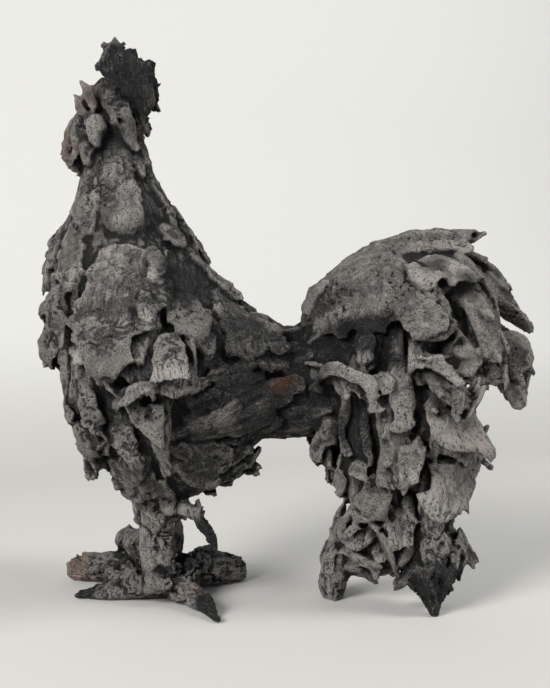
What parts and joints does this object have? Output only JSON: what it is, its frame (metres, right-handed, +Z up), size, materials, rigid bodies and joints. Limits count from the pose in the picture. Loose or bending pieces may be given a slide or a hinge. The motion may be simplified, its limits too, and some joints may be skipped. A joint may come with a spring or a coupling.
{
  "type": "rooster sculpture",
  "caption": "Crowing rooster in dark stoneware, built from torn, layered clay flaps, standing on its feet and on two hanging tail feathers.",
  "frame": {"origin": "on the ground, below the middle of the bird's box", "axes": "+Z up; the bird looks towards -X and its left side faces -Y"},
  "size_m": [0.3716, 0.1768, 0.4217],
  "materials": {
    "stoneware": "unglazed, rough and matt, charcoal to black with pale rubbed edges"
  },
  "bodies": {
    "root": {"rooster": "stoneware"}
  },
  "joints": []
}
